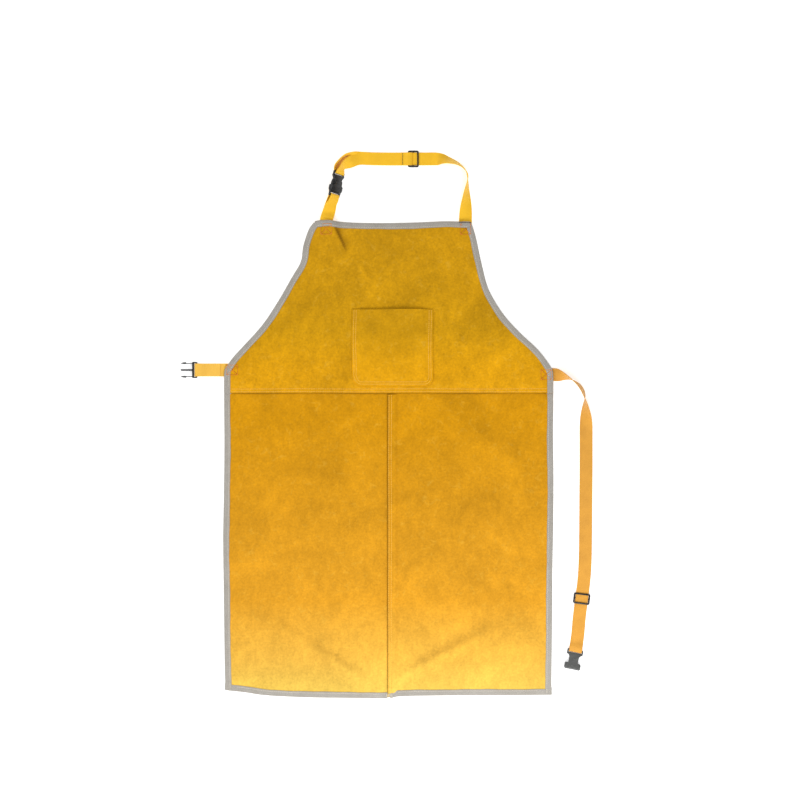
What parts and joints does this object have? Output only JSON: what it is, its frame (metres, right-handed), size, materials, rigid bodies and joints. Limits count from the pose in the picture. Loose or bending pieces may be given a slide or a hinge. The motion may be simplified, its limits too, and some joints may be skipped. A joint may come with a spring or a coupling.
{
  "type": "welding apron",
  "caption": "Bib apron in heavy split leather with a seamed skirt, chest pocket, tape-bound edges, and webbing neck and waist straps that adjust and fasten with side-release buckles.",
  "frame": {"origin": "Bottom centre of the bounding box of the apron as it lies face up, so Z = 0 is the surface that it lies on.", "axes": "+X runs across the apron to the side of the long waist strap, +Y from the hem to the neck loop, +Z out of the front face."},
  "size_m": [0.7978, 1.051, 0.0305],
  "materials": {
    "leather": "matte suede split, golden yellow",
    "binding_tape": "woven cotton tape, warm grey",
    "webbing": "woven webbing, golden yellow",
    "plastic": "moulded, satin black"
  },
  "bodies": {
    "bib": {"bib_panel": "leather", "pocket_patch": "leather", "binding_bib_left": "binding_tape", "binding_bib_right": "binding_tape", "binding_top": "binding_tape", "neck_tail_left": "webbing", "neck_tail_right": "webbing", "waist_tail_left": "webbing", "waist_tail_right": "webbing"},
    "skirt": {"skirt_panel_left": "leather", "skirt_panel_right": "leather", "binding_skirt_left": "binding_tape", "binding_skirt_right": "binding_tape", "binding_hem_left": "binding_tape", "binding_hem_right": "binding_tape"},
    "neck_loop": {"neck_stub": "webbing", "neck_buckle_plug": "plastic", "neck_strap": "webbing", "neck_adjusting_loop": "webbing", "neck_latch_left": "plastic", "neck_latch_right": "plastic"},
    "neck_socket": {"neck_buckle_socket": "plastic"},
    "neck_adjuster": {"neck_slider": "plastic"},
    "waist_stub": {"waist_stub": "webbing", "waist_buckle_plug": "plastic"},
    "waist_latch_lower": {"waist_latch_lower": "plastic"},
    "waist_latch_upper": {"waist_latch_upper": "plastic"},
    "waist_strap": {"waist_strap": "webbing", "waist_adjusting_loop": "webbing"},
    "waist_adjuster": {"waist_slider": "plastic"},
    "waist_socket": {"waist_buckle_socket": "plastic"}
  },
  "joints": [
    {"name": "waist_fold", "type": "hinge", "parent": "bib", "child": "skirt", "pos_m": [0.00584, 0.055, 0.0049], "axis": [-1, 0, 0], "range_deg": [0, 100]},
    {"name": "neck_loop_lift", "type": "hinge", "parent": "bib", "child": "neck_loop", "pos_m": [0.00584, 0.3875, 0.00065], "axis": [1, 0, 0], "range_deg": [0, 75]},
    {"name": "neck_buckle_release", "type": "slide", "parent": "neck_loop", "child": "neck_socket", "axis": [0.2147, 0.9767, 0], "range_m": [0, 0.026], "deforming": ["neck_adjusting_loop", "neck_latch_left", "neck_latch_right"]},
    {"name": "neck_slider_slide", "type": "slide", "parent": "neck_loop", "child": "neck_adjuster", "axis": [-1, 0, 0], "range_m": [-0.02, 0.02], "deforming": ["neck_adjusting_loop"]},
    {"name": "waist_stub_lift", "type": "hinge", "parent": "bib", "child": "waist_stub", "pos_m": [-0.31316, -0.5255, 0.00065], "axis": [0, 1, 0], "range_deg": [0, 75]},
    {"name": "waist_latch_lower_squeeze", "type": "hinge", "parent": "waist_stub", "child": "waist_latch_lower", "pos_m": [-0.37631, 0.0884, 0.0038], "axis": [0, 0, -1], "range_deg": [0, 7], "stiffness_Nm_per_rad": 0.05},
    {"name": "waist_latch_upper_squeeze", "type": "hinge", "parent": "waist_stub", "child": "waist_latch_upper", "pos_m": [-0.37631, 0.1138, 0.0038], "axis": [0, 0, -1], "range_deg": [-7, 0], "stiffness_Nm_per_rad": 0.05},
    {"name": "waist_strap_lift", "type": "hinge", "parent": "bib", "child": "waist_strap", "pos_m": [0.32484, -0.5255, 0.00065], "axis": [0, -1, 0], "range_deg": [0, 40]},
    {"name": "waist_slider_slide", "type": "slide", "parent": "waist_strap", "child": "waist_adjuster", "axis": [-0.1232, -0.9924, 0], "range_m": [-0.025, 0.025], "deforming": ["waist_adjusting_loop"]},
    {"name": "waist_socket_turn", "type": "hinge", "parent": "waist_strap", "child": "waist_socket", "pos_m": [0.36564, -0.4415, 0.0044], "axis": [0.9799, -0.1996, 0], "range_deg": [-5, 5]}
  ],
  "couplings": [
    {"joint": "waist_latch_lower_squeeze", "follows": "waist_latch_upper_squeeze", "ratio": -1}
  ]
}
